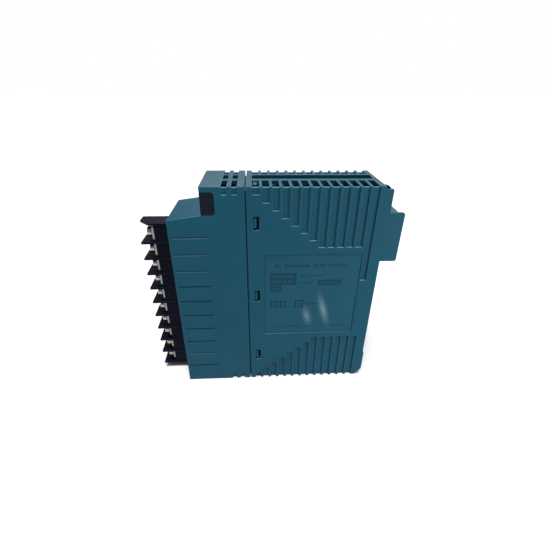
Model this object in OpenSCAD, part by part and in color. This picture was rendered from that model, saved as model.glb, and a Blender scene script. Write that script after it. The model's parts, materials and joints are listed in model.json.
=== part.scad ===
// Slim rack module for an industrial controller: a two-part moulded casing, a ten-way
// barrier terminal block on its nose, a status window and a circuit board inside.
// X is the width (+X is the nameplate side), Y the depth (terminals at -Y), Z is up.
// Depths are given from the upper front face, and heights from the underside.

/* [Casing] */
// Overall height
body_height = 130; // [108:1:156]
// Overall width
body_width = 35; // [32:0.5:42]
// Depth from the upper front face to the rear wall
body_depth = 97.2; // [90:0.1:117]
// How far the terminal nose stands in front of the upper front face
nose_depth = 18; // [15:0.5:22]
// Drop from the top down to the front edge of the nose
nose_drop = 17.3; // [16:0.1:21]
// Rise of the nose's sloping shelf from front to back
shelf_rise = 2.6; // [1:0.1:4]
// Depth of the front cover behind the upper front face
cover_depth = 22.5; // [20:0.1:27]
// Moulded wall thickness
wall = 2.4; // [2:0.1:2.9]
// Visible gap between the front cover and the rear case
parting_gap = 0.7; // [0.2:0.1:0.8]
// Clearance round pieces that locate in one another
fit_gap = 0.2; // [0.1:0.05:0.3]
// Radius of the upper rear corner
top_corner_r = 2.6; // [1:0.1:4]
// Chamfer at the lower rear corner
heel_chamfer = 4.6; // [2:0.1:6]
// Height of the thicker heel at the rear
heel_height = 19.6; // [12:0.1:25]
// How far the heel stands out behind the rear wall
heel_step = 0.7; // [0:0.1:1.5]

/* [Cooling slots] */
// Distance from one groove to the next
groove_pitch = 5.1; // [4.3:0.1:6]
// Width of a groove
groove_width = 3.5; // [2.5:0.1:3.8]
// Depth of a groove in the side wall
groove_depth = 1.0; // [0.6:0.1:1.3]
// Distance from the parting line to the first groove
groove_start = 3.3; // [2.8:0.1:5]
// Drop of each ledge below the one before
ledge_step = 4.2; // [3.5:0.1:5]
// Number of ledges that step down
ledge_steps = 8; // [4:1:9]
// Length of the long last groove
long_groove = 54.8; // [44:0.1:64]
// How far the wall is lowered where a groove meets the top
crest_notch = 0.7; // [0.4:0.1:1.6]
// Length of the vents along the nameplate side
near_vent = 10; // [8:0.1:12]
// Length of the vents along the other side
far_vent = 6; // [5:0.1:7.2]
// Rib between the nameplate-side vents and the middle slot
near_rib = 3.3; // [2:0.1:4]
// Rib between the middle slot and the other vents
far_rib = 2.2; // [1.5:0.1:3]
// Wall left outside the vents
vent_edge = 2.5; // [2:0.1:3]
// Width of the two vent columns in the front cover
cover_vent_width = 2.7; // [2:0.1:3.2]
// Depth of the first cover vent column behind the upper front face
cover_vent_start = 10.9; // [9.5:0.1:12]

/* [Status window] */
// Depth of the window's side return
window_depth = 7; // [5:0.1:8.4]
// Height of the casing strip above the window
window_top_strip = 3; // [2.9:0.1:5]
// Window wall thickness
window_wall = 1.5; // [1:0.1:2]
// Radius of the window's rear corners
window_corner_r = 1.7; // [1:0.1:2.5]
// Number of status lamps
lamp_count = 8; // [4:1:9]
// Diameter of a status lamp
lamp_d = 3; // [2:0.1:3.2]

/* [Terminal block] */
// Width of the terminal block
block_width = 12; // [11:0.1:14]
// Sideways offset of the terminal block and the board behind it
block_offset = -0.7; // [-2:0.1:1]
// Height of the block's underside
block_bottom = 3.8; // [3:0.1:6]
// Thickness of a barrier
barrier = 1.3; // [1:0.1:1.6]
// How far the barriers stand in front of the nose
barrier_reach = 18.8; // [17:0.1:22.5]
// Depth of the block's solid base
base_depth = 10.9; // [9.5:0.1:12]
// Extra room above the first terminal
top_room = 1.2; // [0:0.1:2]
// Terminal screw thread diameter (M3.5)
screw_d = 3.5; // [2.9:0.1:4.2]
// Length of the terminal screw under its head
screw_length = 8; // [7:0.5:9.5]
// Height of the screw head
head_height = 2.6; // [1.8:0.1:3]
// Thickness of the square clamp washer
washer_thick = 1; // [0.8:0.1:1.2]
// Thickness of the split lock washer under the screw head
lock_thick = 0.9; // [0.6:0.1:1.1]
// Thickness of the contact plate
contact_thick = 1.1; // [0.8:0.1:1.3]
// Depth of the recess that each contact plate sits in
contact_recess = 0.9; // [0.5:0.1:1.1]
// Width of the contact plate
contact_width = 8; // [6:0.1:8.4]
// Headroom between the block and the nose's front edge
block_headroom = 6.1; // [4:0.1:8]
// Radial running clearance of the screw
thread_clearance = 0.05; // [0.02:0.01:0.09]

/* [Nameplate] */
// Depth of the nameplate's front edge behind the parting line
plate_start = 9.3; // [8:0.1:12]
// Plain wall between the nameplate recess and the long groove behind it
plate_rear_margin = 0.5; // [0.3:0.1:3]
// Plain wall between the nameplate recess and the ledges above and below it
plate_margin = 4; // [2:0.1:10]
// Depth of the nameplate recess
plate_recess = 0.7; // [0.4:0.1:0.9]
// Thickness of the nameplate
plate_thick = 0.4; // [0.2:0.05:0.6]

/* [Rear connector] */
// Height of the connector shroud
shroud_height = 28.4; // [26:0.1:34]
// Distance from the top down to the shroud
shroud_drop = 14; // [12:0.1:17]
// How far the shroud stands behind the rear wall
shroud_depth = 5.8; // [4:0.1:7]
// How far the side guards stand behind the rear wall
guard_depth = 9.2; // [8:0.1:11]
// Thickness of the shroud and its guards
guard_wall = 1.2; // [1:0.1:1.5]
// Pitch of the rear contacts
bus_pitch = 2; // [1.7:0.1:2]
// Number of contacts in each of the two rows
bus_ways = 9; // [5:1:9]

/* [Circuit board] */
// Board thickness
board_thick = 1.6; // [1:0.1:2]
// Relay height above the board
relay_height = 13.5; // [10:0.1:14]
// Relay length up the board
relay_length = 19; // [15:0.5:20]
// Relay depth along the board
relay_depth = 11; // [9:0.5:12]
// Capacitor diameter
capacitor_d = 10; // [8:0.5:11]

/* [Hidden] */
$fn = 40;
cut = 0.5;                          // how far a cutter runs past a face
teal = [0.11, 0.33, 0.41];

half_w = body_width / 2;
inner_w = body_width - 2 * wall;
case_front = cover_depth + parting_gap;
guard_end = body_depth + guard_depth;
barrier_tip = -nose_depth - barrier_reach;
y_mid = (barrier_tip + guard_end) / 2;  // the frame's origin is under the middle

// Shelf and status window
nose_height = body_height - nose_drop;
shelf_back = nose_height + shelf_rise;
window_top = body_height - window_top_strip;
window_height = window_top - shelf_back;
lamp_z = (shelf_back + window_top) / 2;
lamp_margin = 3;
lamp_gap = (inner_w - 2 * lamp_margin) / lamp_count;
mask_y = 3.2;                       // front of the lamp mask
mask_thick = 1;
status_board_y = window_depth + 1;  // front of the small lamp board
status_board_thick = 1.2;

// Cooling slots
groove_zero = case_front + groove_start - 0.2;
groove_rear_margin = 5;             // plain wall behind the last groove
groove_count = floor((body_depth - groove_rear_margin - groove_zero - groove_width)
    / groove_pitch) + 1;
groove_end = groove_zero + (groove_count - 1) * groove_pitch + groove_width;
plate_y = case_front + plate_start;
plate_length = groove_end - groove_width - plate_rear_margin - plate_y;
plate_bottom = ledge_step * ledge_steps + plate_margin;
plate_height = body_height - 2 * plate_bottom;
near_row = [half_w - vent_edge - near_vent, near_vent];
far_row = [-half_w + vent_edge, far_vent];
slot_row = [far_row[0] + far_vent + far_rib,
    near_row[0] - near_rib - far_row[0] - far_vent - far_rib];
cover_vent_pitch = groove_pitch;
latch_pocket_y = body_depth - 3;    // front of the step in the upper rear edge
latch_pocket_wall = 1.8;
latch_pocket_height = 12;
ear_width = 3;                      // ear left on the nameplate side of the step
ear_drop = 1.8;                     // the ear is lower than the top
key_width = 2;                      // locating key beside the ear
key_height = 11.6;
rear_inside = body_depth - wall;

// Terminal block
terminal_count = 10;
terminal_pitch = (nose_height - block_bottom - barrier - top_room - block_headroom)
    / terminal_count;
terminal_gap = terminal_pitch - barrier;
block_top = block_bottom + terminal_count * terminal_pitch + barrier + top_room;
base_front = -nose_depth - base_depth;
contact_front = base_front + contact_recess - contact_thick;
washer_front = contact_front - washer_thick;
lock_front = washer_front - lock_thick;
head_front = lock_front - head_height;
washer_side = terminal_gap - 1.5;
contact_height = terminal_gap - 0.8;
plate_gap = 0.3;
head_r = washer_side / 2 - 0.5;
base_inset = 0.7;                   // base is narrower than the barriers
plug_depth = wall - 0.2;
plug_end = 1.2;                     // block is taller than its plug at each end
plug_width = 3.4;                   // the plug carries the contact tails through
top_barrier_clip = 5.4;             // clipped corner of the top barrier
tail_thick = 0.8;
tail_height = 1.2;
bore_gap = 0.3;                     // room round the screw inside the block
head_gap = base_front - head_front - head_height;  // from the head down to the block
tail_drop = screw_d / 2 + bore_gap + 0.55 + tail_height / 2;  // below the screw axis
block_screw_d = 2.5;
block_screw_x = block_offset + 3.4;
block_screw_z = [for (k = [1, terminal_count - 1])
    block_bottom + k * terminal_pitch + barrier / 2];
first_line = block_bottom + barrier + 7.7;
line_width = 0.7;
line_depth = 0.6;
line_front = 1.5;                   // from the nose's front edge
line_length = nose_depth + 0.5;
function terminal_z(i) = block_bottom + barrier + terminal_gap / 2
    + (terminal_count - i) * terminal_pitch;

// Snap hooks: the middle one and two near the casing's ends
hook_inset = 20;
hook_lift = 0.6;
hook_heights = [for (k = [-1 : 1])
    body_height / 2 + hook_lift + k * (body_height / 2 - hook_inset)];
hook_length = 7.4;
hook_window = [3.4, 3];             // start behind the parting line, and width
hook_arm = 1.5;
lip_length = 2.6;
lip_thick = 1.3;
nub_width = 5;
nub_length = 2;
nub_rise = 2;

// Board and what it carries
board_near = block_offset - tail_thick;     // board face on the nameplate side
board_far = board_near - board_thick;
board_front = -nose_depth + wall + 2.4;
board_rear = rear_inside - 1;
board_shoulder = latch_pocket_y - latch_pocket_wall - 1;  // rear edge under the top
board_bottom = wall + 3.6;
board_top = body_height - wall - 6.6;
nose_board_top = nose_height - wall - 5;
solder_gap = 0.3;                   // parts stand this far off the board
relay_margin = 4;
relay_space = (nose_board_top - board_bottom - 2 * relay_margin) / 4;
opto_count = 8;
opto_margin = 5;
opto_space = (nose_board_top - board_bottom - 2 * opto_margin) / opto_count;
shroud_top = body_height - shroud_drop;
shroud_bottom = shroud_top - shroud_height;
bus_width = 10;
bus_height = (bus_ways - 1) * bus_pitch + 6.5;
bus_z = (shroud_top + shroud_bottom) / 2;
bus_front = rear_inside - 6.8;
bus_rear = body_depth + 3.8;
bus_socket = 6;
core_size = [22, 20, 13];           // depth, height, reach from the board
core_place = [case_front + 11, body_height - 38];
core_limb = 4.5;
fuse_length = 20;
fuse_d = 5.2;
fuse_place = [case_front + 58, wall + 9];
fuse_lift = 4;

module in_frame() {
    translate([0, -y_mid, 0]) children();
}

// A box from corner to corner, in casing coordinates
module block(low, high) {
    translate(low) cube(high - low);
}

// A side view drawn as [depth, height], extruded across a width centred on x
module side_view(width, x = 0) {
    translate([x - width / 2, 0, 0]) rotate([90, 0, 90]) linear_extrude(width) children();
}

// A cylinder along the depth
module rod_y(d, length) {
    rotate([-90, 0, 0]) cylinder(d = d, h = length);
}

// A cylinder that stands off the board towards the nameplate side
module rod_x(d, length) {
    rotate([0, 90, 0]) cylinder(d = d, h = length);
}

// What a convex corner of radius r loses, with the corner at the origin
module corner_loss(r) {
    difference() {
        translate([-r, -r]) square(r + cut);
        translate([-r, -r]) circle(r);
    }
}

module both_sides() {
    children();
    mirror([1, 0, 0]) children();
}

module top_and_bottom() {
    children();
    translate([0, 0, body_height]) mirror([0, 0, 1]) children();
}

function ledge_drop(k) = k == groove_count - 1 ? long_groove
    : ledge_step * min(k + 1, ledge_steps);

// One groove in the side wall, with the lowered crest above it
module groove(y, width, drop) {
    block([half_w - groove_depth, y, body_height - drop],
          [half_w + cut, y + width, body_height + cut]);
    block([half_w - vent_edge - cut, y, body_height - crest_notch],
          [half_w + cut, y + width, body_height + cut]);
}

// One vent through the top wall
module vent(row, y, width) {
    block([row[0], y, body_height - wall - cut],
          [row[0] + row[1], y + width, body_height + cut]);
}

module case_outline() {
    difference() {
        union() {
            translate([case_front, 0]) square([body_depth - case_front, body_height]);
            translate([body_depth - 1, 0]) square([1 + heel_step, heel_height]);
            translate([body_depth - 1, shroud_bottom])
                square([2, body_height - shroud_bottom]);
        }
        translate([body_depth + 1, body_height]) corner_loss(top_corner_r);
        translate([body_depth + heel_step, 0]) rotate(45)
            square(heel_chamfer * sqrt(2), center = true);
    }
}

module case_hollow() {
    block([-inner_w / 2, case_front - cut, wall],
          [inner_w / 2, rear_inside, shroud_top - cut]);
    block([-inner_w / 2, case_front - cut, wall],
          [inner_w / 2, latch_pocket_y - latch_pocket_wall, body_height - wall]);
}

module shroud() {
    difference() {
        union() {
            block([-half_w, body_depth - 1, shroud_bottom],
                  [half_w, body_depth + shroud_depth, shroud_top]);
            both_sides() side_view(guard_wall, half_w - guard_wall / 2)
                guard_outline();
        }
        block([-half_w + guard_wall, body_depth + 1.8, shroud_bottom + guard_wall],
              [half_w - guard_wall, guard_end + cut, shroud_top - guard_wall]);
    }
}

module guard_outline() {
    difference() {
        translate([body_depth - 1, shroud_bottom])
            square([guard_depth + 1, shroud_height]);
        translate([guard_end, shroud_top]) corner_loss(guard_wall);
        translate([guard_end, shroud_bottom]) mirror([0, 1]) corner_loss(guard_wall);
    }
}

module hook_window_cut(z) {
    y = case_front + hook_window[0];
    block([inner_w / 2 - cut, y, z - hook_length / 2],
          [half_w + cut, y + hook_window[1], z + hook_length / 2]);
}

module rear_case() {
    color(teal) in_frame() difference() {
        union() {
            difference() {
                side_view(body_width) case_outline();
                case_hollow();
            }
            shroud();
            board_guides();
        }
        top_and_bottom() {
            both_sides() for (k = [0 : groove_count - 1])
                groove(groove_zero + k * groove_pitch, groove_width,
                       min(ledge_drop(k), ledge_step * ledge_steps));
            for (k = [0 : groove_count - 1]) {
                vent(near_row, groove_zero + k * groove_pitch, groove_width);
                vent(far_row, groove_zero + k * groove_pitch, groove_width);
            }
            vent(slot_row, groove_zero, groove_end + 1 - groove_zero);
        }
        both_sides() groove(groove_end - groove_width, groove_width, long_groove);
        both_sides() for (z = hook_heights) hook_window_cut(z);
        nameplate_recess();
        latch_pocket();
        bus_opening();
    }
}

// Step in the upper rear edge, which leaves a low ear on the nameplate side
module latch_pocket() {
    block([-half_w - cut, latch_pocket_y, body_height - latch_pocket_height],
          [half_w - ear_width, body_depth + 1 + cut, body_height + cut]);
    block([-half_w - cut, latch_pocket_y, body_height - ear_drop],
          [half_w + cut, body_depth + 1 + cut, body_height + cut]);
}

// Dark key in the step, against the inner side of the ear
module rack_key() {
    foot = body_height - latch_pocket_height;
    rear = body_depth + 0.6;
    color([0.03, 0.03, 0.04]) in_frame()
        side_view(key_width, half_w - ear_width - fit_gap - key_width / 2) difference() {
            translate([latch_pocket_y, foot]) square([rear - latch_pocket_y, key_height]);
            translate([rear, foot + key_height]) corner_loss(top_corner_r);
        }
}

module nameplate_recess() {
    block([half_w - plate_recess, plate_y, plate_bottom],
          [half_w + cut, plate_y + plate_length, plate_bottom + plate_height]);
}

module bus_opening() {
    block([board_near - fit_gap, rear_inside - cut, bus_z - bus_height / 2 - fit_gap],
          [board_near + bus_width + fit_gap, body_depth + 2 + cut,
           bus_z + bus_height / 2 + fit_gap]);
}

// Two upright ribs on the rear wall that the board's rear edge slides between
module board_guides() {
    rib = 1.4;
    for (x = [board_near + 0.1, board_far - 0.1 - rib])
        block([x, rear_inside - 4, board_bottom + 4],
              [x + rib, rear_inside + cut, shroud_bottom - 4]);
}

module cover_outline() {
    polygon([[-nose_depth, 0], [cover_depth, 0], [cover_depth, body_height],
             [0, body_height], [0, shelf_back], [-nose_depth, nose_height]]);
}

module cover_hollow() {
    polygon([[wall - nose_depth, wall], [cover_depth + cut, wall],
             [cover_depth + cut, body_height - wall],
             [window_depth, body_height - wall],
             [window_depth, shelf_back - wall],
             [0, shelf_back - wall], [wall - nose_depth, nose_height - wall]]);
}

// The side view of the status window, larger all round by a gap but not at its foot
module window_outline(gap) {
    difference() {
        translate([-cut, shelf_back])
            square([window_depth + cut + gap, window_height + gap]);
        translate([window_depth + gap, window_top + gap]) corner_loss(window_corner_r);
        translate([window_depth + gap, shelf_back]) mirror([0, 1])
            corner_loss(window_corner_r);
    }
}

module hook(z) {
    y = case_front + hook_window[0];
    tooth = 1.7;
    block([inner_w / 2 - fit_gap - hook_arm, cover_depth - 4, z - hook_length / 2 + 1],
          [inner_w / 2 - fit_gap, y + tooth, z + hook_length / 2 - 1]);
    block([inner_w / 2 - fit_gap - hook_arm, y + fit_gap, z - hook_length / 2 + 1],
          [half_w - 0.3, y + tooth, z + hook_length / 2 - 1]);
    block([inner_w / 2 - hook_arm, cover_depth - 4, z - hook_length / 2 + 1],
          [inner_w / 2 + cut, cover_depth - 1, z + hook_length / 2 - 1]);
}

// Nub that clicks up into the first vent on the nameplate side
module vent_nub() {
    x = near_row[0] + 1;
    y = groove_zero + 0.5;
    ceiling = body_height - wall - fit_gap;
    block([x, case_front, ceiling - lip_thick], [x + nub_width, y + nub_length, ceiling]);
    block([x, y, ceiling - cut], [x + nub_width, y + nub_length, ceiling + nub_rise]);
}

// Lip that locates inside the mouth of the rear case
module lip() {
    difference() {
        block([-inner_w / 2 + fit_gap, cover_depth - 3, wall + fit_gap],
              [inner_w / 2 - fit_gap, case_front + lip_length - cut,
               body_height - wall - fit_gap]);
        block([-inner_w / 2 + fit_gap + lip_thick, cover_depth - 4,
               wall + fit_gap + lip_thick],
              [inner_w / 2 - fit_gap - lip_thick, case_front + lip_length,
               body_height - wall - fit_gap - lip_thick]);
    }
    difference() {
        block([-inner_w / 2 - cut, cover_depth - 3, wall - cut],
              [inner_w / 2 + cut, cover_depth - 1, body_height - wall + cut]);
        block([-inner_w / 2 + fit_gap + lip_thick, cover_depth - 4,
               wall + fit_gap + lip_thick],
              [inner_w / 2 - fit_gap - lip_thick, cover_depth,
               body_height - wall - fit_gap - lip_thick]);
    }
}

module front_cover() {
    plug_low = block_bottom + plug_end - fit_gap;
    plug_high = block_top - plug_end + fit_gap;
    color(teal) in_frame() difference() {
        union() {
            difference() {
                side_view(body_width) cover_outline();
                side_view(inner_w) cover_hollow();
                side_view(body_width + 2 * cut) window_outline(fit_gap);
            }
            lip();
            both_sides() for (z = hook_heights) hook(z);
            top_and_bottom() vent_nub();
        }
        block([block_offset - plug_width / 2 - fit_gap, -nose_depth - cut, plug_low],
              [block_offset + plug_width / 2 + fit_gap, wall - nose_depth + cut,
               plug_high]);
        top_and_bottom() for (k = [0, 1]) {
            y = cover_vent_start + k * cover_vent_pitch;
            both_sides() groove(y, cover_vent_width, ledge_step);
            for (row = [near_row, slot_row, far_row]) vent(row, y, cover_vent_width);
        }
        both_sides() for (k = [0 : terminal_count - 1])
            block([half_w - line_depth, -nose_depth + line_front,
                   first_line + k * terminal_pitch - line_width / 2],
                  [half_w + cut, -nose_depth + line_front + line_length,
                   first_line + k * terminal_pitch + line_width / 2]);
        for (z = block_screw_z) translate([block_screw_x, -nose_depth - cut, z])
            rod_y(block_screw_d + 2 * fit_gap, wall + 2 * cut);
    }
}

module status_window() {
    color([0.10, 0.10, 0.14, 0.9]) in_frame() difference() {
        side_view(body_width) intersection() {
            window_outline(0);
            translate([0, shelf_back]) square([window_depth, window_height]);
        }
        block([-half_w + window_wall, window_wall, shelf_back + window_wall],
              [half_w - window_wall, window_depth + cut, window_top - window_wall]);
    }
}

function lamp_x(i) = (i - (lamp_count - 1) / 2) * lamp_gap;

module lamp_mask() {
    color([0.03, 0.03, 0.03]) in_frame() difference() {
        block([-half_w + window_wall + fit_gap, mask_y, shelf_back + window_wall],
              [half_w - window_wall - fit_gap, mask_y + mask_thick,
               window_top - window_wall - fit_gap]);
        for (i = [0 : lamp_count - 1])
            translate([lamp_x(i), mask_y - cut, lamp_z]) rod_y(lamp_d + 0.2, 2);
    }
}

module status_lamps() {
    flange = 1;
    color([0.75, 0.15, 0.1]) in_frame() for (i = [0 : lamp_count - 1])
        translate([lamp_x(i), 0, lamp_z]) {
            translate([0, mask_y + 1.2, 0])
                rod_y(lamp_d, status_board_y - mask_y - 1.2);
            translate([0, mask_y + 1.2, 0]) sphere(d = lamp_d);
            translate([0, status_board_y - flange, 0]) rod_y(lamp_d + 0.5, flange);
        }
}

module status_board() {
    color([0.08, 0.32, 0.18]) in_frame()
        block([-inner_w / 2 + 1, status_board_y, shelf_back + 0.8],
              [inner_w / 2 - 1, status_board_y + status_board_thick,
               body_height - wall - 0.8]);
}

// Angled pins that join the lamp board to the main board
module board_link() {
    pin = 0.6;
    pin_z = board_top - 4;
    color([0.8, 0.7, 0.3]) in_frame() for (k = [0 : 5]) {
        z = pin_z - k * 0.9;
        block([board_near + 1, status_board_y + status_board_thick, z],
              [board_near + 1 + pin, status_board_y + 6, z + pin / 2]);
        block([board_near, status_board_y + 6 - pin, z],
              [board_near + 1 + pin, status_board_y + 6, z + pin / 2]);
    }
}

module terminal_block() {
    tail_room = 0.15;
    color([0.05, 0.06, 0.11]) in_frame() difference() {
        union() {
            block([block_offset - block_width / 2 + base_inset, base_front, block_bottom],
                  [block_offset + block_width / 2 - base_inset, -nose_depth, block_top]);
            for (i = [0 : terminal_count]) {
                z = i == terminal_count ? block_top - barrier
                    : block_bottom + i * terminal_pitch;
                difference() {
                    block([block_offset - block_width / 2, barrier_tip, z],
                          [block_offset + block_width / 2, -nose_depth, z + barrier]);
                    if (i == terminal_count)
                        translate([block_offset + block_width / 2, barrier_tip, z - cut])
                            rotate(45) cube([top_barrier_clip * sqrt(2),
                            top_barrier_clip * sqrt(2), 2 * barrier + 2], center = true);
                }
            }
            block([block_offset - plug_width / 2, -nose_depth - cut,
                   block_bottom + plug_end],
                  [block_offset + plug_width / 2, plug_depth - nose_depth,
                   block_top - plug_end]);
        }
        for (i = [1 : terminal_count]) translate([block_offset, 0, terminal_z(i)]) {
            translate([0, base_front, 0])
                rod_y(screw_d + 2 * bore_gap, screw_length - head_gap + 1);
            block([-tail_thick - tail_room, base_front - cut,
                   -tail_drop - tail_height / 2 - tail_room],
                  [tail_room, plug_depth - nose_depth + cut,
                   -tail_drop + tail_height / 2 + tail_room]);
            block([-contact_width / 2 - plate_gap / 2, base_front - cut,
                   -contact_height / 2 - plate_gap / 2],
                  [contact_width / 2 + plate_gap / 2, base_front + contact_recess,
                   contact_height / 2 + plate_gap / 2]);
        }
        for (z = block_screw_z) translate([block_screw_x, -nose_depth - 5, z])
            rod_y(block_screw_d, 5 + cut);
    }
}

module terminal_contacts() {
    color([0.78, 0.78, 0.74]) in_frame() for (i = [1 : terminal_count])
        translate([block_offset, 0, terminal_z(i)]) difference() {
            union() {
                block([-contact_width / 2, contact_front, -contact_height / 2],
                      [contact_width / 2, contact_front + contact_thick,
                       contact_height / 2]);
                block([-tail_thick, contact_front, -tail_drop - tail_height / 2],
                      [0, board_front + 3, -tail_drop + tail_height / 2]);
            }
            translate([0, contact_front - cut, 0])
                rod_y(screw_d + 2 * thread_clearance, contact_thick + 2 * cut);
        }
}

module clamp_washer(i) {
    bend = 0.4;
    color([0.82, 0.82, 0.80]) in_frame() translate([block_offset, 0, terminal_z(i)])
        difference() {
            union() {
                block([-washer_side / 2, washer_front, -washer_side / 2],
                      [washer_side / 2, contact_front, washer_side / 2]);
                for (s = [-1, 1]) translate([s * (washer_side - bend) / 2, 0, 0])
                    block([-bend / 2, washer_front - bend, -washer_side / 2],
                          [bend / 2, washer_front + cut, washer_side / 2]);
            }
            translate([0, washer_front - cut, 0])
                rod_y(screw_d + 2 * thread_clearance, washer_thick + 2 * cut);
        }
}

// Split ring between the screw head and the square washer
module lock_washer(i) {
    outer = 2 * head_r - 0.4;
    split = 0.5;
    color([0.78, 0.78, 0.76]) in_frame() translate([block_offset, 0, terminal_z(i)])
        difference() {
            translate([0, lock_front, 0]) rod_y(outer, lock_thick);
            translate([0, lock_front - cut, 0])
                rod_y(screw_d + 2 * thread_clearance, lock_thick + 2 * cut);
            translate([0, lock_front - cut, 0]) rotate([0, 30, 0])
                cube([outer, lock_thick + 2 * cut, split]);
        }
}

// Pan head with a cross recess and a slot, and a plain shank of the thread's diameter
module terminal_screw(i) {
    tip = 0.6;
    slot = 0.9;
    slot_depth = 1.1;
    color([0.86, 0.86, 0.84]) in_frame() translate([block_offset, 0, terminal_z(i)])
        difference() {
            translate([0, head_front, 0]) rotate([-90, 0, 0]) rotate_extrude() {
                translate([0, head_height - cut])
                    square([screw_d / 2, screw_length - tip + cut]);
                translate([0, head_height - cut])
                    square([screw_d / 2 - tip, screw_length + cut]);
                difference() {
                    square([head_r, head_height]);
                    translate([head_r, 0]) mirror([0, 1]) corner_loss(0.9);
                }
            }
            block([-slot / 2, head_front - cut, -head_r - cut],
                  [slot / 2, head_front + slot_depth, head_r + cut]);
            block([-head_r * 0.55, head_front - cut, -slot / 2],
                  [head_r * 0.55, head_front + slot_depth + 0.4, slot / 2]);
        }
}

// Screws from inside the nose that hold the terminal block
module block_screws() {
    head = 2;
    color([0.7, 0.7, 0.68]) in_frame() for (z = block_screw_z)
        translate([block_screw_x, -nose_depth, z]) difference() {
            union() {
                translate([0, -4.4, 0]) rod_y(block_screw_d, 4.4 + wall + cut);
                translate([0, wall, 0]) rod_y(4.6, head);
            }
            block([-2.5, wall + head - 0.9, -0.4], [2.5, wall + head + cut, 0.4]);
        }
}

module nameplate() {
    color([0.13, 0.36, 0.45]) in_frame()
        block([half_w - plate_recess, plate_y + fit_gap, plate_bottom + fit_gap],
              [half_w - plate_recess + plate_thick, plate_y + plate_length - fit_gap,
               plate_bottom + plate_height - fit_gap]);
}

module main_board() {
    color([0.06, 0.30, 0.16]) in_frame() difference() {
        side_view(board_thick, (board_near + board_far) / 2)
            polygon([[board_front, board_bottom], [board_rear, board_bottom],
                     [board_rear, shroud_top - 3], [board_shoulder, shroud_top - 3],
                     [board_shoulder, board_top], [status_board_y + 3, board_top],
                     [status_board_y + 3, nose_board_top],
                     [board_front, nose_board_top]]);
        for (z = [board_bottom + 8, board_top - 8])
            translate([board_far - cut, case_front + 20, z])
                rod_x(3.2, board_thick + 2 * cut);
    }
}

module bus_connector() {
    face = 1.4;
    color([0.06, 0.06, 0.06]) in_frame() difference() {
        block([board_near, bus_front, bus_z - bus_height / 2],
              [board_near + bus_width, bus_rear, bus_z + bus_height / 2]);
        block([board_near + face, bus_rear - bus_socket, bus_z - bus_height / 2 + face],
              [board_near + bus_width - face, bus_rear + cut,
               bus_z + bus_height / 2 - face]);
        bus_pin_set(0.1);
    }
}

// Two rows of contacts; a positive gap makes the holes that they pass through
module bus_pin_set(gap) {
    pin = 0.6 + 2 * gap;
    for (row = [-1, 1]) for (k = [0 : bus_ways - 1])
        translate([board_near + bus_width / 2 + row * bus_pitch / 2, 0,
                   bus_z + (k - (bus_ways - 1) / 2) * bus_pitch])
            block([-pin / 2, bus_front - 1.5, -pin / 2], [pin / 2, bus_rear - 1, pin / 2]);
}

module bus_pins() {
    color([0.85, 0.70, 0.30]) in_frame() bus_pin_set(0);
}

// Places a component at a depth and a height, a solder gap off the board's face
module on_board(y, z) {
    translate([board_near + solder_gap, y, z]) children();
}

function relay_z(i) = board_bottom + relay_margin + relay_space * (4.5 - i);

module relay(i) {
    lid = 1;
    legs = [[1.6, 1.6], [relay_depth - 1.6, 1.6], [relay_depth / 2, relay_length - 2]];
    color([0.12, 0.30, 0.62]) in_frame()
        on_board(-nose_depth + wall + 9, relay_z(i) - relay_length / 2) {
            block([0, 0, 0], [relay_height - lid, relay_depth, relay_length]);
            block([relay_height - lid - 0.1, 0.5, 0.5],
                  [relay_height, relay_depth - 0.5, relay_length - 0.5]);
            for (leg = legs) translate([-solder_gap, leg[0], leg[1]])
                block([0, -0.3, -0.3], [solder_gap + 0.1, 0.3, 0.3]);
        }
}

module optocouplers() {
    color([0.07, 0.07, 0.08]) in_frame() for (k = [0 : opto_count - 1])
        on_board(8, board_bottom + opto_margin + opto_space * (k + 0.5)) {
            block([0.4, 0, -2.3], [3.9, 6.4, 2.3]);
            for (z = [-1.27, 1.27]) for (y = [-0.6, 6.4 - 0.2])
                block([-solder_gap, y, z - 0.25], [2.2, y + 0.8, z + 0.25]);
        }
}

module transformer_core() {
    color([0.13, 0.13, 0.14]) in_frame()
        on_board(core_place[0], core_place[1]) difference() {
            block([-solder_gap, 0, 0], [core_size[2], core_size[0], core_size[1]]);
            block([-solder_gap - cut, core_limb, core_limb],
                  [core_size[2] + cut, core_size[0] - core_limb,
                   core_size[1] - core_limb]);
        }
}

module transformer_winding() {
    gap = 0.4;
    color([0.72, 0.42, 0.16]) in_frame()
        on_board(core_place[0] + core_limb + gap, core_place[1] + core_limb + gap) {
            width = core_size[0] - 2 * core_limb - 2 * gap;
            height = core_size[1] - 2 * core_limb - 2 * gap;
            block([-solder_gap, 0, 0], [1, width, height]);
            block([1, 0.8, 0.8], [core_size[2] - 1, width - 0.8, height - 0.8]);
            block([core_size[2] - 1, 0, 0], [core_size[2] + 0.4, width, height]);
        }
}

module capacitor(y, z, height) {
    r = capacitor_d / 2;
    color([0.10, 0.12, 0.30]) in_frame()
        on_board(y, z) rotate([0, 90, 0]) rotate_extrude() difference() {
            translate([0, -solder_gap]) square([r, height + solder_gap]);
            translate([r + 0.1, 1.6]) circle(0.6);
            translate([r, height]) corner_loss(0.6);
        }
}

module capacitors() {
    for (drop = [28, 40]) capacitor(case_front + 43, body_height - drop, 13);
}

// A flat square chip with short leads on all four sides
module controller_chip() {
    size = 20;
    leads = 11;
    color([0.05, 0.05, 0.06]) in_frame()
        on_board(case_front + 22, board_bottom + 36) {
            block([0, 0, 0], [2.2, size, size]);
            for (k = [0 : leads - 1]) {
                at = (k + 1) * size / (leads + 1);
                block([-solder_gap, -1.2, at - 0.3], [0.6, size + 1.2, at + 0.3]);
                block([-solder_gap, at - 0.3, -1.2], [0.6, at + 0.3, size + 1.2]);
            }
        }
}

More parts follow.
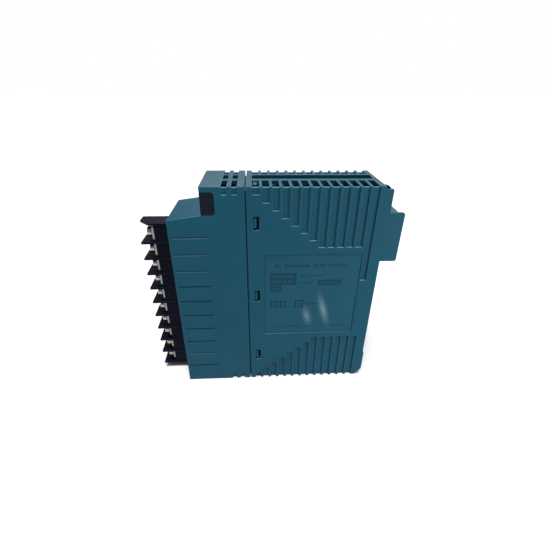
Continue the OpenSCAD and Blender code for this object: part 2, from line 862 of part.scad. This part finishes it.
module memory_chip() {
    length = 32;
    width = 12;
    leads = 12;
    color([0.05, 0.05, 0.06]) in_frame()
        on_board(case_front + 50, board_bottom + 32) {
            block([0.6, 0, 0], [4.2, width, length]);
            for (k = [0 : leads - 1]) block([-solder_gap, -1, k * 2.54 + 1.8],
                [2, width + 1, k * 2.54 + 2.4]);
        }
}

module regulator() {
    color([0.06, 0.06, 0.07]) in_frame()
        on_board(case_front + 34, board_bottom + 6) {
            block([3, 2.2, 0], [13, 6.6, 10]);
            for (z = [2.5, 5, 7.5]) block([-solder_gap, 4, z - 0.4], [3.1, 4.6, z + 0.4]);
        }
}

module heat_sink() {
    fins = 7;
    color([0.72, 0.74, 0.76]) in_frame()
        on_board(case_front + 34, board_bottom + 6) {
            block([0.4, 0, -6], [15, 2.2, 16]);
            for (k = [0 : fins - 1]) block([0.4, -7, -6 + k * 3.5],
                [15, 0.1, -5 + k * 3.5]);
        }
}

module crystal() {
    color([0.80, 0.80, 0.82]) in_frame()
        on_board(case_front + 12, board_bottom + 44) {
            translate([0, 0, 2.3]) rod_x(4.6, 3.5);
            translate([0, 0, 8.7]) rod_x(4.6, 3.5);
            block([0, -2.3, 2.3], [3.5, 2.3, 8.7]);
            for (z = [3.3, 7.7]) block([-solder_gap, -0.3, z - 0.3], [0.1, 0.3, z + 0.3]);
        }
}

module fuse() {
    cap = 5;
    color([0.85, 0.86, 0.84]) in_frame()
        on_board(fuse_place[0], fuse_place[1]) translate([fuse_lift, 0, 0]) {
            cylinder(d = fuse_d - 0.4, h = fuse_length);
            for (z = [0, fuse_length - cap]) translate([0, 0, z])
                cylinder(d = fuse_d, h = cap);
        }
}

module fuse_clips() {
    leaf = 0.5;
    clip = 4;
    color([0.75, 0.72, 0.60]) in_frame()
        on_board(fuse_place[0], fuse_place[1]) for (z = [0.5, fuse_length - clip - 0.5]) {
            for (y = [-fuse_d / 2 - leaf, fuse_d / 2])
                block([-solder_gap, y, z], [fuse_lift + 2, y + leaf, z + clip]);
            block([0, -fuse_d / 2, z], [leaf, fuse_d / 2, z + clip]);
        }
}

rear_case();
front_cover();
status_window();
lamp_mask();
status_lamps();
status_board();
board_link();
terminal_block();
terminal_contacts();
block_screws();
nameplate();
main_board();
bus_connector();
bus_pins();
for (i = [1 : 4]) relay(i);
optocouplers();
transformer_core();
transformer_winding();
capacitors();
controller_chip();
memory_chip();
regulator();
heat_sink();
crystal();
fuse();
fuse_clips();
rack_key();
for (i = [1 : terminal_count]) {
    clamp_washer(i);
    lock_washer(i);
    terminal_screw(i);
}
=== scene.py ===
"""Looks for the slim control-rack module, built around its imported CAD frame."""
import json
import math

import bmesh
import bpy
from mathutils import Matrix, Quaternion, Vector

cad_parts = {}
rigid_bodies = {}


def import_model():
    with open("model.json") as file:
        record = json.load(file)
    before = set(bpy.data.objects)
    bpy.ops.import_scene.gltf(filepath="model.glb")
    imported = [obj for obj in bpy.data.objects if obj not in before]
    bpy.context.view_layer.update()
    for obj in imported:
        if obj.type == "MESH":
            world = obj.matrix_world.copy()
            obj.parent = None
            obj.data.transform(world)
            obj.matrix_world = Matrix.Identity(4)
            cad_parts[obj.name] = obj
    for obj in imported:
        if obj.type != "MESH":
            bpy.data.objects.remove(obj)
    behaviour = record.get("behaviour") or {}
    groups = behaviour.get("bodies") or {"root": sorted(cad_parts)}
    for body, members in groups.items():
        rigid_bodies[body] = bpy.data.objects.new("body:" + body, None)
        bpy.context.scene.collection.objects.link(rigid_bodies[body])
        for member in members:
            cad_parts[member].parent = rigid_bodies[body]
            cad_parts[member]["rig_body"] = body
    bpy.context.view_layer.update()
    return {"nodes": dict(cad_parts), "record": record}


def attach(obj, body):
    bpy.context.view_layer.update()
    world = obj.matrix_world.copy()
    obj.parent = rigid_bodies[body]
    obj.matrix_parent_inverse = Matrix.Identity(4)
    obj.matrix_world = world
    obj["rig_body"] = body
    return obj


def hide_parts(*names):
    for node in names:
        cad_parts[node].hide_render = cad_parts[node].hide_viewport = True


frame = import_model()

MM = 0.001
PLATE_FACE = 17.2       # frame X of the nameplate's outer face, in millimetres
DEPTH_ZERO = -34.8      # frame Y of the upper front face, where print depths start

# How faces are joined and edges rounded: angles in degrees, room in edge radii
FLAT_WITHIN = 1.0       # facets this close to each other become one flat
SHARP_FROM = 35.0       # outer edges at least this sharp are rounded
SMOOTH_CURVE = 32       # neighbours this close shade as one curve
SMOOTH_ROUNDED = 75     # the same beside a rounded edge
ROOM_SHARP = 2.6        # clear width needed up to another sharp edge
ROOM_PLAIN = 1.1        # clear width needed up to any other edge
LEDGE_AREA = 4          # square millimetres: smaller upward flats get a painted highlight

# Edge radius of each kind of piece, in millimetres
EDGE_RADIUS = {
    "rear_case": 0.3, "front_cover": 0.3, "terminal_block": 0.2, "status_window": 0.3,
    "nameplate": 0.08, "rack_key": 0.3, "bus_connector": 0.15, "terminal_contacts": 0.12,
    "terminal_screw": 0.12, "clamp_washer": 0.12, "lock_washer": 0.12, "relay": 0.4,
    "transformer_core": 0.3, "transformer_winding": 0.4, "memory_chip": 0.15,
    "heat_sink": 0.15, "regulator": 0.2, "lamp_mask": 0.1, "block_screws": 0.12,
    "capacitors": 0.1, "crystal": 0.15, "main_board": 0.1, "status_board": 0.1,
}


# ---------------------------------------------------------------- materials

def new_material(name):
    """A material with an empty node tree, its shader and its object coordinates."""
    material = bpy.data.materials.new(name)
    material.use_nodes = True
    tree = material.node_tree
    tree.nodes.clear()
    out = tree.nodes.new("ShaderNodeOutputMaterial")
    shader = tree.nodes.new("ShaderNodeBsdfPrincipled")
    tree.links.new(shader.outputs["BSDF"], out.inputs["Surface"])
    place = tree.nodes.new("ShaderNodeTexCoord").outputs["Object"]
    return material, tree, shader, place


def noise(tree, place, size, detail=4.0, rough=0.55, kind="fac"):
    """Noise whose grains are about size metres across."""
    node = tree.nodes.new("ShaderNodeTexNoise")
    node.inputs["Scale"].default_value = 1.0 / size
    node.inputs["Detail"].default_value = detail
    node.inputs["Roughness"].default_value = rough
    tree.links.new(place, node.inputs["Vector"])
    return node.outputs["Fac" if kind == "fac" else "Color"]


def ramp(tree, fac, stops):
    """A colour ramp with (position, colour or grey) stops."""
    node = tree.nodes.new("ShaderNodeValToRGB")
    elements = node.color_ramp.elements
    while len(elements) > 1:
        elements.remove(elements[-1])
    for i, (position, colour) in enumerate(stops):
        element = elements[0] if i == 0 else elements.new(position)
        element.position = position
        rgb = colour if isinstance(colour, tuple) else (colour, colour, colour)
        element.color = (*rgb, 1.0)
    tree.links.new(fac, node.inputs["Fac"])
    return node.outputs["Color"]


def mix(tree, fac, a, b, blend="MIX"):
    """Mixes two colours, each a socket or a tuple."""
    node = tree.nodes.new("ShaderNodeMix")
    node.data_type = "RGBA"
    node.blend_type = blend
    for socket, value in ((node.inputs[0], fac), (node.inputs[6], a), (node.inputs[7], b)):
        if isinstance(value, bpy.types.NodeSocket):
            tree.links.new(value, socket)
        elif isinstance(value, tuple):
            socket.default_value = (*value, 1.0)
        else:
            socket.default_value = value
    return node.outputs[2]


def maths(tree, operation, a, b):
    """One math node on two numbers or sockets."""
    node = tree.nodes.new("ShaderNodeMath")
    node.operation = operation
    for socket, value in ((node.inputs[0], a), (node.inputs[1], b)):
        if isinstance(value, bpy.types.NodeSocket):
            tree.links.new(value, socket)
        else:
            socket.default_value = value
    return node.outputs[0]


def bump(tree, shader, height, distance, strength=1.0):
    """Raises the surface by distance metres where height is 1."""
    node = tree.nodes.new("ShaderNodeBump")
    node.inputs["Strength"].default_value = strength
    node.inputs["Distance"].default_value = distance
    tree.links.new(height, node.inputs["Height"])
    tree.links.new(node.outputs["Normal"], shader.inputs["Normal"])


def edge_wear_and_highlight(tree):
    """How pale a softened piece is painted at each face: wear on its rounded outer edges plus a
    painted highlight on upward rims and small upward ledges, 0 elsewhere.
    """
    node = tree.nodes.new("ShaderNodeAttribute")
    node.attribute_name = "edge_wear_and_highlight"
    return node.outputs["Fac"]


def plastic(name, colour, rough=(0.4, 0.5), specular=0.5, grain=0.00022, depth=0.00001,
            vary=0.12, edge=None, marks=None, coat=0.0):
    """Moulded plastic: a fine spark-eroded grain, slow colour drift, and paler edges that are
    partly wear and partly a painted highlight on upward rims and ledges.
    """
    material, tree, shader, place = new_material(name)
    drift = noise(tree, place, 0.035, 3.0)
    specks = noise(tree, place, 0.0009, 2.0)
    dark = tuple(c * (1 - vary) for c in colour)
    light = tuple(min(1.0, c * (1 + vary)) for c in colour)
    tint = ramp(tree, drift, [(0.3, dark), (0.7, light)])
    tint = mix(tree, ramp(tree, specks, [(0.62, 0.0), (0.75, 0.10)]), tint,
               tuple(min(1.0, c * 1.5 + 0.01) for c in colour))
    # Edges painted paler: partly wear, partly a painted highlight on upward rims and ledges, from
    # the mesh's edge attribute.
    if edge:
        wear_and_glare = ramp(tree, noise(tree, place, 0.005), [(0.25, 0.6), (0.75, 1.0)])
        pale = maths(tree, "POWER", edge_wear_and_highlight(tree), 2.0)
        tint = mix(tree, mix(tree, 1.0, pale, wear_and_glare, "MULTIPLY"), tint, edge)
    if marks:
        tint = mix(tree, handling_marks(tree, place), tint, marks)
    tree.links.new(tint, shader.inputs["Base Color"])
    tree.links.new(ramp(tree, noise(tree, place, 0.012, 5.0), [(0.3, rough[0]), (0.7, rough[1])]),
                   shader.inputs["Roughness"])
    shader.inputs["Specular IOR Level"].default_value = specular
    shader.inputs["Coat Weight"].default_value = coat
    shader.inputs["Coat Roughness"].default_value = 0.16
    bump(tree, shader, noise(tree, place, grain, 2.0, 0.6), depth)
    return material


def handling_marks(tree, place):
    """Sparse short scratches and rubbed spots, as a faint mask."""
    stretched = tree.nodes.new("ShaderNodeMapping")
    stretched.inputs["Rotation"].default_value = (0.5, 0.0, 0.0)
    stretched.inputs["Scale"].default_value = (1.0, 1.0, 14.0)
    tree.links.new(place, stretched.inputs["Vector"])
    scratches = ramp(tree, noise(tree, stretched.outputs["Vector"], 0.009, 6.0, 0.7),
                     [(0.70, 0.0), (0.74, 0.35)])
    spots = ramp(tree, noise(tree, place, 0.006, 5.0, 0.65), [(0.66, 0.0), (0.80, 0.30)])
    return mix(tree, 1.0, scratches, spots, "ADD")


def metal(name, colour, rough=(0.18, 0.36), grain=0.0012, depth=0.000004, stretch=None):
    """Plated or drawn metal with soft stains and fine marks."""
    material, tree, shader, place = new_material(name)
    stains = noise(tree, place, 0.0025, 4.0)
    tint = ramp(tree, stains, [(0.3, tuple(c * 0.82 for c in colour)), (0.65, colour)])
    tree.links.new(tint, shader.inputs["Base Color"])
    shader.inputs["Metallic"].default_value = 1.0
    marks = place
    if stretch:
        mapping = tree.nodes.new("ShaderNodeMapping")
        mapping.inputs["Scale"].default_value = stretch
        tree.links.new(place, mapping.inputs["Vector"])
        marks = mapping.outputs["Vector"]
    tree.links.new(ramp(tree, noise(tree, marks, grain, 5.0), [(0.3, rough[0]), (0.7, rough[1])]),
                   shader.inputs["Roughness"])
    bump(tree, shader, noise(tree, marks, grain, 4.0), depth)
    return material


def smoked_window():
    """Dark tinted plastic, polished, with faint haze and dust."""
    material, tree, shader, place = new_material("smoked_window")
    haze = noise(tree, place, 0.006, 3.0)
    dust = ramp(tree, noise(tree, place, 0.0006, 3.0), [(0.66, 0.0), (0.80, 0.35)])
    tint = ramp(tree, haze, [(0.3, (0.002, 0.004, 0.009)), (0.7, (0.003, 0.006, 0.013))])
    tree.links.new(mix(tree, dust, tint, (0.03, 0.035, 0.05)), shader.inputs["Base Color"])
    tree.links.new(ramp(tree, haze, [(0.3, 0.14), (0.7, 0.26)]), shader.inputs["Roughness"])
    shader.inputs["Specular IOR Level"].default_value = 0.08
    bump(tree, shader, noise(tree, place, 0.0012, 2.0), 0.000003)
    return material


def nameplate_film():
    """Printed film in the casing's colour, with two pale streaks that are a painted highlight."""
    material, tree, shader, place = new_material("nameplate_film")
    tint = ramp(tree, noise(tree, place, 0.02, 3.0),
                [(0.3, (0.0038, 0.0455, 0.0755)), (0.7, (0.0046, 0.050, 0.082))])
    # Two soft pale streaks, leaning 15 degrees, are a painted highlight on the film.
    lean = math.radians(15)
    for y, z, half_width, half_height, strength in (
            (0.0232, 0.0505, 0.0040, 0.0110, 0.24), (0.0330, 0.0550, 0.0038, 0.0170, 0.30)):
        mapping = tree.nodes.new("ShaderNodeMapping")
        mapping.vector_type = "TEXTURE"
        mapping.inputs["Location"].default_value = (PLATE_FACE * MM, y, z)
        mapping.inputs["Rotation"].default_value = (lean, 0, 0)
        mapping.inputs["Scale"].default_value = (0.01, half_width, half_height)
        tree.links.new(place, mapping.inputs["Vector"])
        patch = tree.nodes.new("ShaderNodeTexGradient")
        patch.gradient_type = "QUADRATIC_SPHERE"
        tree.links.new(mapping.outputs["Vector"], patch.inputs["Vector"])
        wear_and_glare = ramp(tree, patch.outputs["Fac"], [(0.0, 0.0), (0.9, strength)])
        tint = mix(tree, wear_and_glare, tint, (0.30, 0.42, 0.46))
    tree.links.new(tint, shader.inputs["Base Color"])
    tree.links.new(ramp(tree, noise(tree, place, 0.012, 5.0), [(0.3, 0.28), (0.7, 0.38)]),
                   shader.inputs["Roughness"])
    shader.inputs["Specular IOR Level"].default_value = 0.11
    bump(tree, shader, noise(tree, place, 0.0006, 2.0), 0.000004)
    return material


def circuit_board():
    """Green solder resist with paler tracks showing through, and pale pads."""
    material, tree, shader, place = new_material("board_green")
    tracks = tree.nodes.new("ShaderNodeTexBrick")
    tracks.inputs["Scale"].default_value = 1.0 / 0.004
    tracks.inputs["Mortar Size"].default_value = 0.07
    tracks.inputs["Color1"].default_value = (0.006, 0.045, 0.028, 1)
    tracks.inputs["Color2"].default_value = (0.007, 0.052, 0.032, 1)
    tracks.inputs["Mortar"].default_value = (0.016, 0.095, 0.055, 1)
    swing = tree.nodes.new("ShaderNodeVectorRotate")
    swing.rotation_type = "EULER_XYZ"
    swing.inputs["Rotation"].default_value = (0, math.radians(90), 0)
    tree.links.new(place, swing.inputs["Vector"])
    tree.links.new(swing.outputs["Vector"], tracks.inputs["Vector"])
    pads = tree.nodes.new("ShaderNodeTexVoronoi")
    pads.inputs["Scale"].default_value = 1.0 / 0.0035
    tree.links.new(place, pads.inputs["Vector"])
    pad_mask = ramp(tree, pads.outputs["Distance"], [(0.10, 1.0), (0.13, 0.0)])
    tint = mix(tree, pad_mask, tracks.outputs["Color"], (0.55, 0.52, 0.42))
    tree.links.new(tint, shader.inputs["Base Color"])
    tree.links.new(ramp(tree, noise(tree, place, 0.003), [(0.3, 0.22), (0.7, 0.38)]),
                   shader.inputs["Roughness"])
    bump(tree, shader, tracks.outputs["Fac"], 0.00003, 0.6)
    return material


def make_materials():
    """Every material by its slot name. Colours are linear."""
    # Paler teal for edges: wear plus a painted highlight on upward rims and ledges.
    teal_wear_and_highlight = (0.085, 0.215, 0.275)
    return {
        "case_teal": plastic("case_teal", (0.0022, 0.0448, 0.0745), (0.38, 0.48), 0.07,
                             vary=0.07, edge=teal_wear_and_highlight, marks=(0.02, 0.10, 0.15),
                             coat=0.10),
        "smoked_window": smoked_window(),
        # The block's paler edge colour is likewise wear plus a painted highlight on upward rims
        # and ledges.
        "block_black": plastic("block_black", (0.0016, 0.0024, 0.0085), (0.34, 0.46), 0.05,
                               grain=0.0003, vary=0.2, edge=(0.012, 0.014, 0.024)),
        "nameplate_film": nameplate_film(),
        "print_ink": plastic("print_ink", (0.0032, 0.028, 0.045), (0.35, 0.5), 0.09),
        "screw_steel": metal("screw_steel", (0.42, 0.42, 0.41), (0.10, 0.26), 0.0008),
        "washer_steel": metal("washer_steel", (0.26, 0.26, 0.26), (0.16, 0.34), 0.0006),
        "contact_tin": metal("contact_tin", (0.66, 0.66, 0.62), (0.25, 0.42)),
        "contact_gold": metal("contact_gold", (0.83, 0.60, 0.22), (0.16, 0.30)),
        "board_green": circuit_board(),
        "lamp_red": plastic("lamp_red", (0.45, 0.03, 0.02), (0.12, 0.22), 0.5, vary=0.05),
        "relay_blue": plastic("relay_blue", (0.03, 0.12, 0.36), (0.25, 0.35)),
        "chip_black": plastic("chip_black", (0.012, 0.012, 0.014), (0.45, 0.6)),
        "ferrite": plastic("ferrite", (0.035, 0.035, 0.038), (0.5, 0.7), grain=0.0004),
        "copper_wire": metal("copper_wire", (0.60, 0.27, 0.10), (0.25, 0.4), 0.0006,
                             stretch=(1, 1, 6)),
        "capacitor_sleeve": plastic("capacitor_sleeve", (0.02, 0.03, 0.12), (0.2, 0.3)),
        "sink_aluminium": metal("sink_aluminium", (0.74, 0.76, 0.78), (0.3, 0.45), 0.0007,
                                stretch=(1, 8, 1)),
        "can_steel": metal("can_steel", (0.76, 0.76, 0.78), (0.2, 0.34)),
        "fuse_glass": metal("fuse_glass", (0.80, 0.82, 0.82), (0.1, 0.2)),
    }


# ---------------------------------------------------------------- pieces

def corner_normals(mesh, rounded):
    """A normal for each corner: flats stay flat, curves and rounded edges run smoothly."""
    normals = []
    for face in mesh.faces:
        limit = math.cos(math.radians(SMOOTH_ROUNDED if face in rounded
                                      else SMOOTH_CURVE))
        for loop in face.loops:
            flats = [f for f in loop.vert.link_faces
                     if f not in rounded and f.normal.dot(face.normal) > limit]
            near = flats or [f for f in loop.vert.link_faces
                             if f.normal.dot(face.normal) > limit] or [face]
            total = Vector((0, 0, 0))
            for other in near:
                total += other.normal * (other.calc_area() + 1e-12)
            normals.append(total.normalized() if total.length > 0 else face.normal.copy())
    return normals


def point_gap(point, edge):
    """Distance from a point to an edge."""
    start, end = edge.verts[0].co, edge.verts[1].co
    along = end - start
    t = max(0.0, min(1.0, (point - start).dot(along) / max(along.length_squared, 1e-18)))
    return (start + along * t - point).length


def has_room(edge, radius, sharp):
    """Whether both flats beside an edge are wide enough to be rounded into."""
    for face in edge.link_faces:
        for other in face.edges:
            if other is edge or set(other.verts) & set(edge.verts):
                continue
            gap = min([point_gap(v.co, edge) for v in other.verts]
                      + [point_gap(v.co, other) for v in edge.verts])
            if gap < radius * (ROOM_SHARP if other in sharp else ROOM_PLAIN):
                return False
    return True


def edge_light(face, is_rounded):
    """How pale an edge is painted: some wear on every rounded edge, plus a painted highlight that
    grows on upward rims and is full on narrow upward ledges.
    """
    up = max(0.0, face.normal.z)
    if is_rounded:
        return 0.2 + 0.45 * up
    return 1.0 if up > 0.9 and face.calc_area() < LEDGE_AREA * MM * MM else 0.0


def softened(node, radius, segments=2):
    """A copy of a CAD node with its flats joined up and its outer edges rounded."""
    mesh = bmesh.new()
    mesh.from_mesh(frame["nodes"][node].data)
    bmesh.ops.remove_doubles(mesh, verts=mesh.verts, dist=0.000002)
    bmesh.ops.dissolve_limit(mesh, angle_limit=math.radians(FLAT_WITHIN), verts=mesh.verts,
                             edges=mesh.edges)
    sharp = {e for e in mesh.edges if len(e.link_faces) == 2 and e.is_convex
             and e.calc_face_angle(0) > math.radians(SHARP_FROM)}
    edges = [e for e in mesh.edges if e in sharp and has_room(e, radius, sharp)]
    made = bmesh.ops.bevel(mesh, geom=edges, offset=radius, segments=segments, profile=0.5,
                           affect="EDGES", clamp_overlap=False, loop_slide=True)
    rounded = set(made["faces"])
    mesh.normal_update()
    normals = corner_normals(mesh, rounded)
    # Each face's paleness: wear on rounded edges plus a painted highlight on upward rims and
    # small upward ledges.
    on_edge = [edge_light(face, face in rounded) for face in mesh.faces]
    data = bpy.data.meshes.new(node + "_shell")
    mesh.to_mesh(data)
    mesh.free()
    for polygon in data.polygons:
        polygon.use_smooth = True
    data.normals_split_custom_set(normals)
    data.attributes.new("edge_wear_and_highlight", "FLOAT", "FACE").data.foreach_set("value", on_edge)
    piece = bpy.data.objects.new(node + "_shell", data)
    bpy.context.scene.collection.objects.link(piece)
    return piece


def stands_for(piece, node, material):
    """Puts a piece on its node's body, in the node's place."""
    piece.data.materials.append(material)
    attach(piece, frame["nodes"][node]["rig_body"])
    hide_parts(node)


def paint_nodes(materials):
    """Gives every CAD node the material of its slot."""
    slots = {s["node"]: s["material_slot"] for s in frame["record"]["subparts"]}
    for name, node in frame["nodes"].items():
        node.data.materials.clear()
        node.data.materials.append(materials[slots[name]])
    return slots


# ---------------------------------------------------------------- nameplate print
# Depths run back from DEPTH_ZERO and heights up from the floor, in millimetres.

def add_block(mesh, low, high):
    """A closed block between two corners, in millimetres."""
    corners = [mesh.verts.new((x * MM, y * MM, z * MM)) for x in (low[0], high[0])
               for y in (low[1], high[1]) for z in (low[2], high[2])]
    for face in ((0, 1, 3, 2), (4, 6, 7, 5), (0, 4, 5, 1), (2, 3, 7, 6), (0, 2, 6, 4),
                 (1, 5, 7, 3)):
        mesh.faces.new([corners[i] for i in face])


def printed(mesh, depths, heights, layer=1):
    """A flat printed patch on the nameplate."""
    add_block(mesh, (PLATE_FACE - 0.01, depths[0] + DEPTH_ZERO, heights[0]),
              (PLATE_FACE + 0.012 * layer, depths[1] + DEPTH_ZERO, heights[1]))


def glyph_row(mesh, start, end, height, size, words, layer=1):
    """Generic blocks in word-like groups, spread from start to end."""
    count = sum(words) + len(words) - 1
    step = (end - start) / count
    slot = 0
    for word in words:
        for k in range(word):
            left = start + (slot + k) * step
            tall = size * (1.0, 0.72, 0.86, 1.0, 0.72)[(slot + k) % 5]
            printed(mesh, (left, left + 0.68 * step), (height, height + tall), layer)
        slot += word + 1


def outline(mesh, depths, heights, line):
    """A printed rectangular frame."""
    printed(mesh, depths, (heights[0], heights[0] + line))
    printed(mesh, depths, (heights[1] - line, heights[1]))
    printed(mesh, (depths[0], depths[0] + line), heights)
    printed(mesh, (depths[1] - line, depths[1]), heights)


def finish_print(mesh, name, material):
    """Turns printed blocks into a piece that rides with the nameplate."""
    data = bpy.data.meshes.new(name)
    mesh.to_mesh(data)
    mesh.free()
    piece = bpy.data.objects.new(name, data)
    bpy.context.scene.collection.objects.link(piece)
    data.materials.append(material)
    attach(piece, frame["nodes"]["nameplate"]["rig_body"])


def print_nameplate(ink, film):
    """Generic bars, frames and blocks where a nameplate carries its print."""
    dark = bmesh.new()
    glyph_row(dark, 38.5, 79.5, 84.4, 2.1, (2, 8, 4, 6))
    printed(dark, (35.6, 50.6), (72.9, 80.7))
    printed(dark, (35.6, 42.2), (68.4, 72.3))
    glyph_row(dark, 53.0, 67.0, 78.4, 1.1, (4, 6))
    glyph_row(dark, 53.5, 60.0, 73.6, 1.1, (5,))
    printed(dark, (63.3, 76.7), (72.3, 76.0))
    for left in (36.2, 41.4):
        outline(dark, (left, left + 3.6), (57.4, 61.6), 0.7)
    outline(dark, (50.2, 55.4), (57.0, 62.2), 0.8)
    printed(dark, (52.0, 53.6), (58.8, 60.4))
    glyph_row(dark, 57.0, 65.5, 59.0, 1.2, (5,))
    glyph_row(dark, 37.0, 60.0, 42.4, 1.0, (4, 2, 7, 3))
    glyph_row(dark, 67.0, 83.0, 42.4, 1.0, (3, 8))
    finish_print(dark, "nameplate_print", ink)
    light = bmesh.new()
    for height in (77.6, 74.2):
        glyph_row(light, 36.8, 49.6, height, 1.9, (4, 5), 2)
    glyph_row(light, 36.6, 41.4, 69.5, 1.5, (4,), 2)
    glyph_row(light, 64.6, 75.6, 73.4, 1.5, (7,), 2)
    finish_print(light, "nameplate_fill_in", film)


# ---------------------------------------------------------------- stage

def make_stage():
    """A wide pale floor under the module."""
    floor_mesh = bpy.data.meshes.new("floor")
    half = 6.0
    floor_mesh.from_pydata([(-half, -half, 0), (half, -half, 0), (half, half, 0),
                            (-half, half, 0)], [], [(0, 1, 2, 3)])
    floor = bpy.data.objects.new("floor", floor_mesh)
    bpy.context.scene.collection.objects.link(floor)
    material, tree, shader, place = new_material("pale_floor")
    tree.links.new(ramp(tree, noise(tree, place, 0.3), [(0.3, 0.52), (0.7, 0.54)]),
                   shader.inputs["Base Color"])
    shader.inputs["Roughness"].default_value = 0.9
    shader.inputs["Specular IOR Level"].default_value = 0.1
    floor_mesh.materials.append(material)


def area_light(name, place, aim, size, power):
    """A rectangular lamp of size metres, aimed at a point and hidden from the camera."""
    light = bpy.data.lights.new(name, "AREA")
    light.shape = "RECTANGLE"
    light.size, light.size_y = size
    light.energy = power
    lamp = bpy.data.objects.new(name, light)
    lamp.location = place
    lamp.rotation_euler = (Vector(aim) - Vector(place)).to_track_quat("-Z", "Y").to_euler()
    lamp.visible_camera = False
    bpy.context.scene.collection.objects.link(lamp)


def make_lights():
    """A dim room on a white ground, a broad overhead light and two soft lamps."""
    world = bpy.data.worlds.new("studio")
    bpy.context.scene.world = world
    world.use_nodes = True
    tree = world.node_tree
    tree.nodes.clear()
    out = tree.nodes.new("ShaderNodeOutputWorld")
    seen = tree.nodes.new("ShaderNodeLightPath").outputs["Is Camera Ray"]
    blend = tree.nodes.new("ShaderNodeMixShader")
    tree.links.new(seen, blend.inputs[0])
    for socket, strength in ((blend.inputs[1], 0.30), (blend.inputs[2], 1.0)):
        background = tree.nodes.new("ShaderNodeBackground")
        background.inputs["Color"].default_value = (1.0, 1.0, 1.0, 1.0)
        background.inputs["Strength"].default_value = strength
        tree.links.new(background.outputs[0], socket)
    tree.links.new(blend.outputs[0], out.inputs["Surface"])
    middle = (0, 0, 0.06)
    sky = bpy.data.lights.new("overhead", "SUN")
    sky.energy = 5.6
    sky.angle = math.radians(24)
    lamp = bpy.data.objects.new("overhead", sky)
    lamp.rotation_euler = Vector((0.24, -0.04, 1.0)).to_track_quat("Z", "Y").to_euler()
    bpy.context.scene.collection.objects.link(lamp)
    area_light("back_softbox", (-0.95, 0.15, 0.75), middle, (1.0, 0.7), 4.3)
    area_light("rear_fill", (0.24, 0.30, 0.07), middle, (0.16, 0.12), 0.85)
    bpy.context.scene.view_settings.view_transform = "Standard"
    bpy.context.scene.view_settings.look = "None"


def make_camera():
    """A wide lens close to the nameplate side, a little in front and above."""
    at = Vector((0.1840, -0.0071, 0.1754))
    aim = Vector((0.0108, 0.0039, 0.0760))
    roll = math.radians(0.81)
    camera = bpy.data.cameras.new("camera")
    camera.lens = 22.25
    camera.sensor_width = 36.0
    camera.clip_start = 0.01
    viewer = bpy.data.objects.new("camera", camera)
    viewer.location = at
    viewer.rotation_mode = "QUATERNION"
    viewer.rotation_quaternion = ((aim - at).to_track_quat("-Z", "Y")
                                  @ Quaternion((0, 0, 1), roll))
    bpy.context.scene.collection.objects.link(viewer)
    bpy.context.scene.camera = viewer


# ---------------------------------------------------------------- build

materials = make_materials()
node_slots = paint_nodes(materials)
for node_name, node_slot in node_slots.items():
    kind = node_name.rstrip("0123456789_")
    if kind in EDGE_RADIUS:
        stands_for(softened(node_name, EDGE_RADIUS[kind] * MM), node_name,
                   materials[node_slot])
print_nameplate(materials["print_ink"], materials["nameplate_film"])
make_stage()
make_lights()
make_camera()
